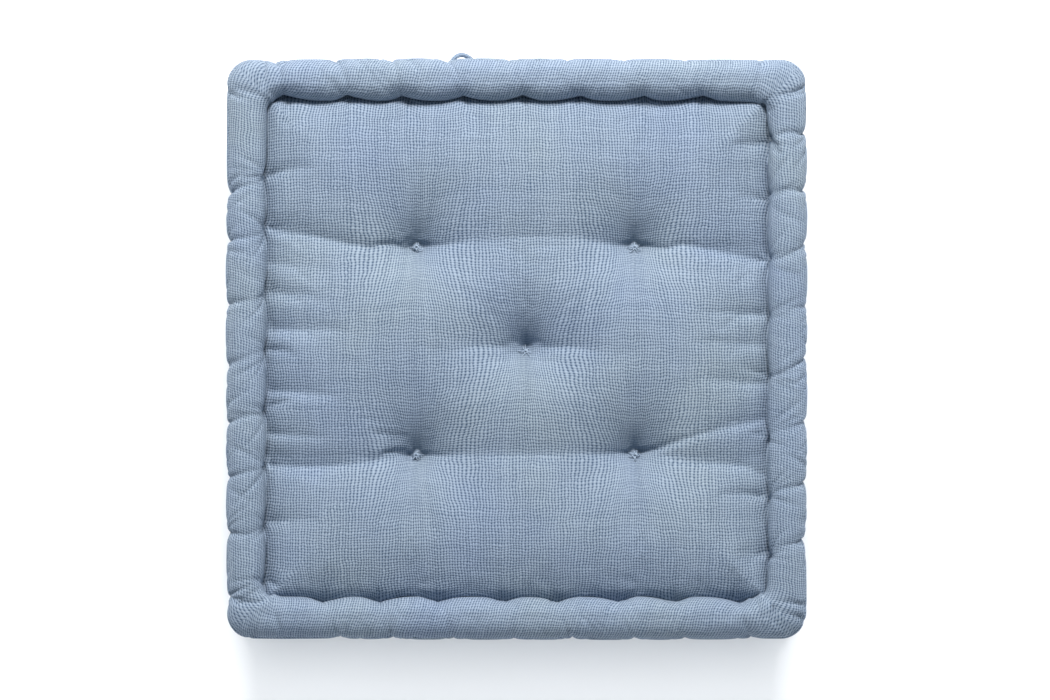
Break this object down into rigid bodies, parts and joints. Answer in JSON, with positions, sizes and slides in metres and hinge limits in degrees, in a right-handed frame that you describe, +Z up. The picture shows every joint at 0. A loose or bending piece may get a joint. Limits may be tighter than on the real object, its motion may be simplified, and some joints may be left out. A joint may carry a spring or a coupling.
{
  "type": "floor cushion",
  "caption": "Square tufted floor cushion with stitched edge rolls along its top and bottom, a boxed side band and a thin cord carrying handle.",
  "frame": {"origin": "on the surface the cushion lies on, under the centre of its square outline", "axes": "+Z up, +Y towards the side with the handle, +X to the right as seen from above with the handle side at the top"},
  "size_m": [0.45, 0.456, 0.1],
  "materials": {
    "woven_cotton": "plain basket-like weave of slubby blue cotton yarn, matt, small dark gaps between the yarns",
    "stuffing_fibre": "loose off-white carded fibre",
    "thread": "blue twisted cotton thread",
    "cord_cloth": "thin round cord of the same blue cotton"
  },
  "bodies": {
    "cushion": {"top_panel": "woven_cotton", "side_band": "woven_cotton", "bottom_panel": "woven_cotton", "top_roll_filling": "stuffing_fibre", "bottom_roll_filling": "stuffing_fibre", "top_wadding": "stuffing_fibre", "filling_core": "stuffing_fibre", "bottom_wadding": "stuffing_fibre", "top_roll_stitching": "thread", "bottom_roll_stitching": "thread", "top_seam_thread": "thread", "bottom_seam_thread": "thread", "band_join_thread": "thread", "tuft_centre": "thread", "tuft_back_left": "thread", "tuft_back_right": "thread", "tuft_front_left": "thread", "tuft_front_right": "thread", "handle_tack_left": "thread", "handle_tack_right": "thread"},
    "handle": {"handle_cord": "cord_cloth"}
  },
  "joints": [
    {"name": "handle_swing", "type": "hinge", "parent": "cushion", "child": "handle", "pos_m": [0, 0.217, 0.05], "axis": [1, 0, 0], "range_deg": [0, 90]}
  ]
}
